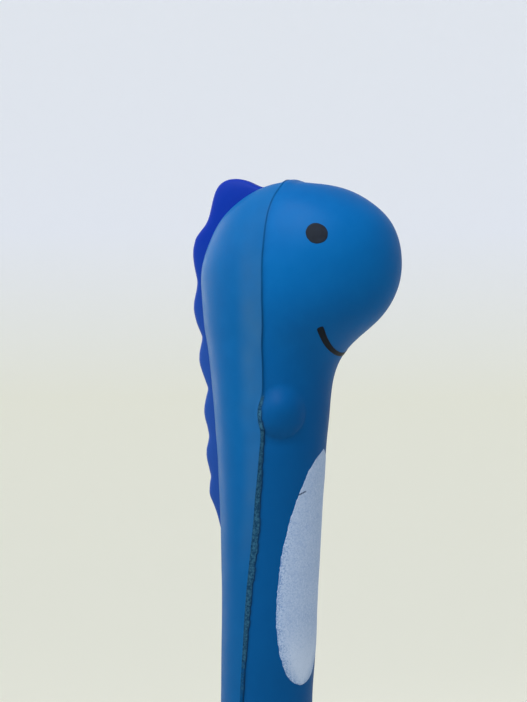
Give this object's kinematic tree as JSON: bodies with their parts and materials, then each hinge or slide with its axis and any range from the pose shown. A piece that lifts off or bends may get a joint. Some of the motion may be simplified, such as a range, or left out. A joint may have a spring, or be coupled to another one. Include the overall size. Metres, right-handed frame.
{
  "type": "foam figure gel pen",
  "caption": "Capped gel pen in a soft foam sleeve shaped as a small dinosaur, whose head bends on the neck above the barrel's end.",
  "frame": {"origin": "centre of the flat end of the cap, which the pen stands on", "axes": "+Z along the pen from the cap towards the head, -Y the way the dinosaur looks, -X its right side"},
  "size_m": [0.0228, 0.0347, 0.1653],
  "materials": {
    "foam_blue": "satin",
    "crest_blue": "satin",
    "belly_pale": "matte",
    "print_black": "satin",
    "barrel_plastic": "gloss",
    "holder_plastic": "satin",
    "tube_plastic": "satin",
    "gel_ink": "gloss",
    "follower_gel": "gloss",
    "tip_metal": "satin",
    "ball_metal": "polished",
    "seal_rubber": "matte"
  },
  "bodies": {
    "pen_body": {"foam_torso": "foam_blue", "crest_back": "crest_blue", "belly_patch": "belly_pale", "barrel": "barrel_plastic", "end_plug": "holder_plastic"},
    "head": {"foam_head": "foam_blue", "crest_head": "crest_blue", "eye_right": "print_black", "eye_left": "print_black", "mouth": "print_black"},
    "refill": {"ink_tube": "tube_plastic", "ink": "gel_ink", "ink_follower": "follower_gel", "tip_holder": "holder_plastic", "tip_cone": "tip_metal", "writing_ball": "ball_metal"},
    "section": {"grip_section": "barrel_plastic"},
    "cap_assembly": {"cap": "barrel_plastic", "cap_seal": "seal_rubber"}
  },
  "joints": [
    {"name": "head_nod", "type": "hinge", "parent": "pen_body", "child": "head", "pos_m": [0, 0, 0.135], "axis": [1, 0, 0], "range_deg": [-20, 20], "stiffness_Nm_per_rad": 0.02},
    {"name": "cap_slide", "type": "slide", "parent": "cap_assembly", "child": "section", "axis": [0, 0, 1], "range_m": [0, 0.058]},
    {"name": "section_slide", "type": "slide", "parent": "section", "child": "refill", "axis": [0, 0, 1], "range_m": [0, 0.062]},
    {"name": "refill_slide", "type": "slide", "parent": "refill", "child": "pen_body", "axis": [0, 0, 1], "range_m": [0, 0.062]}
  ]
}
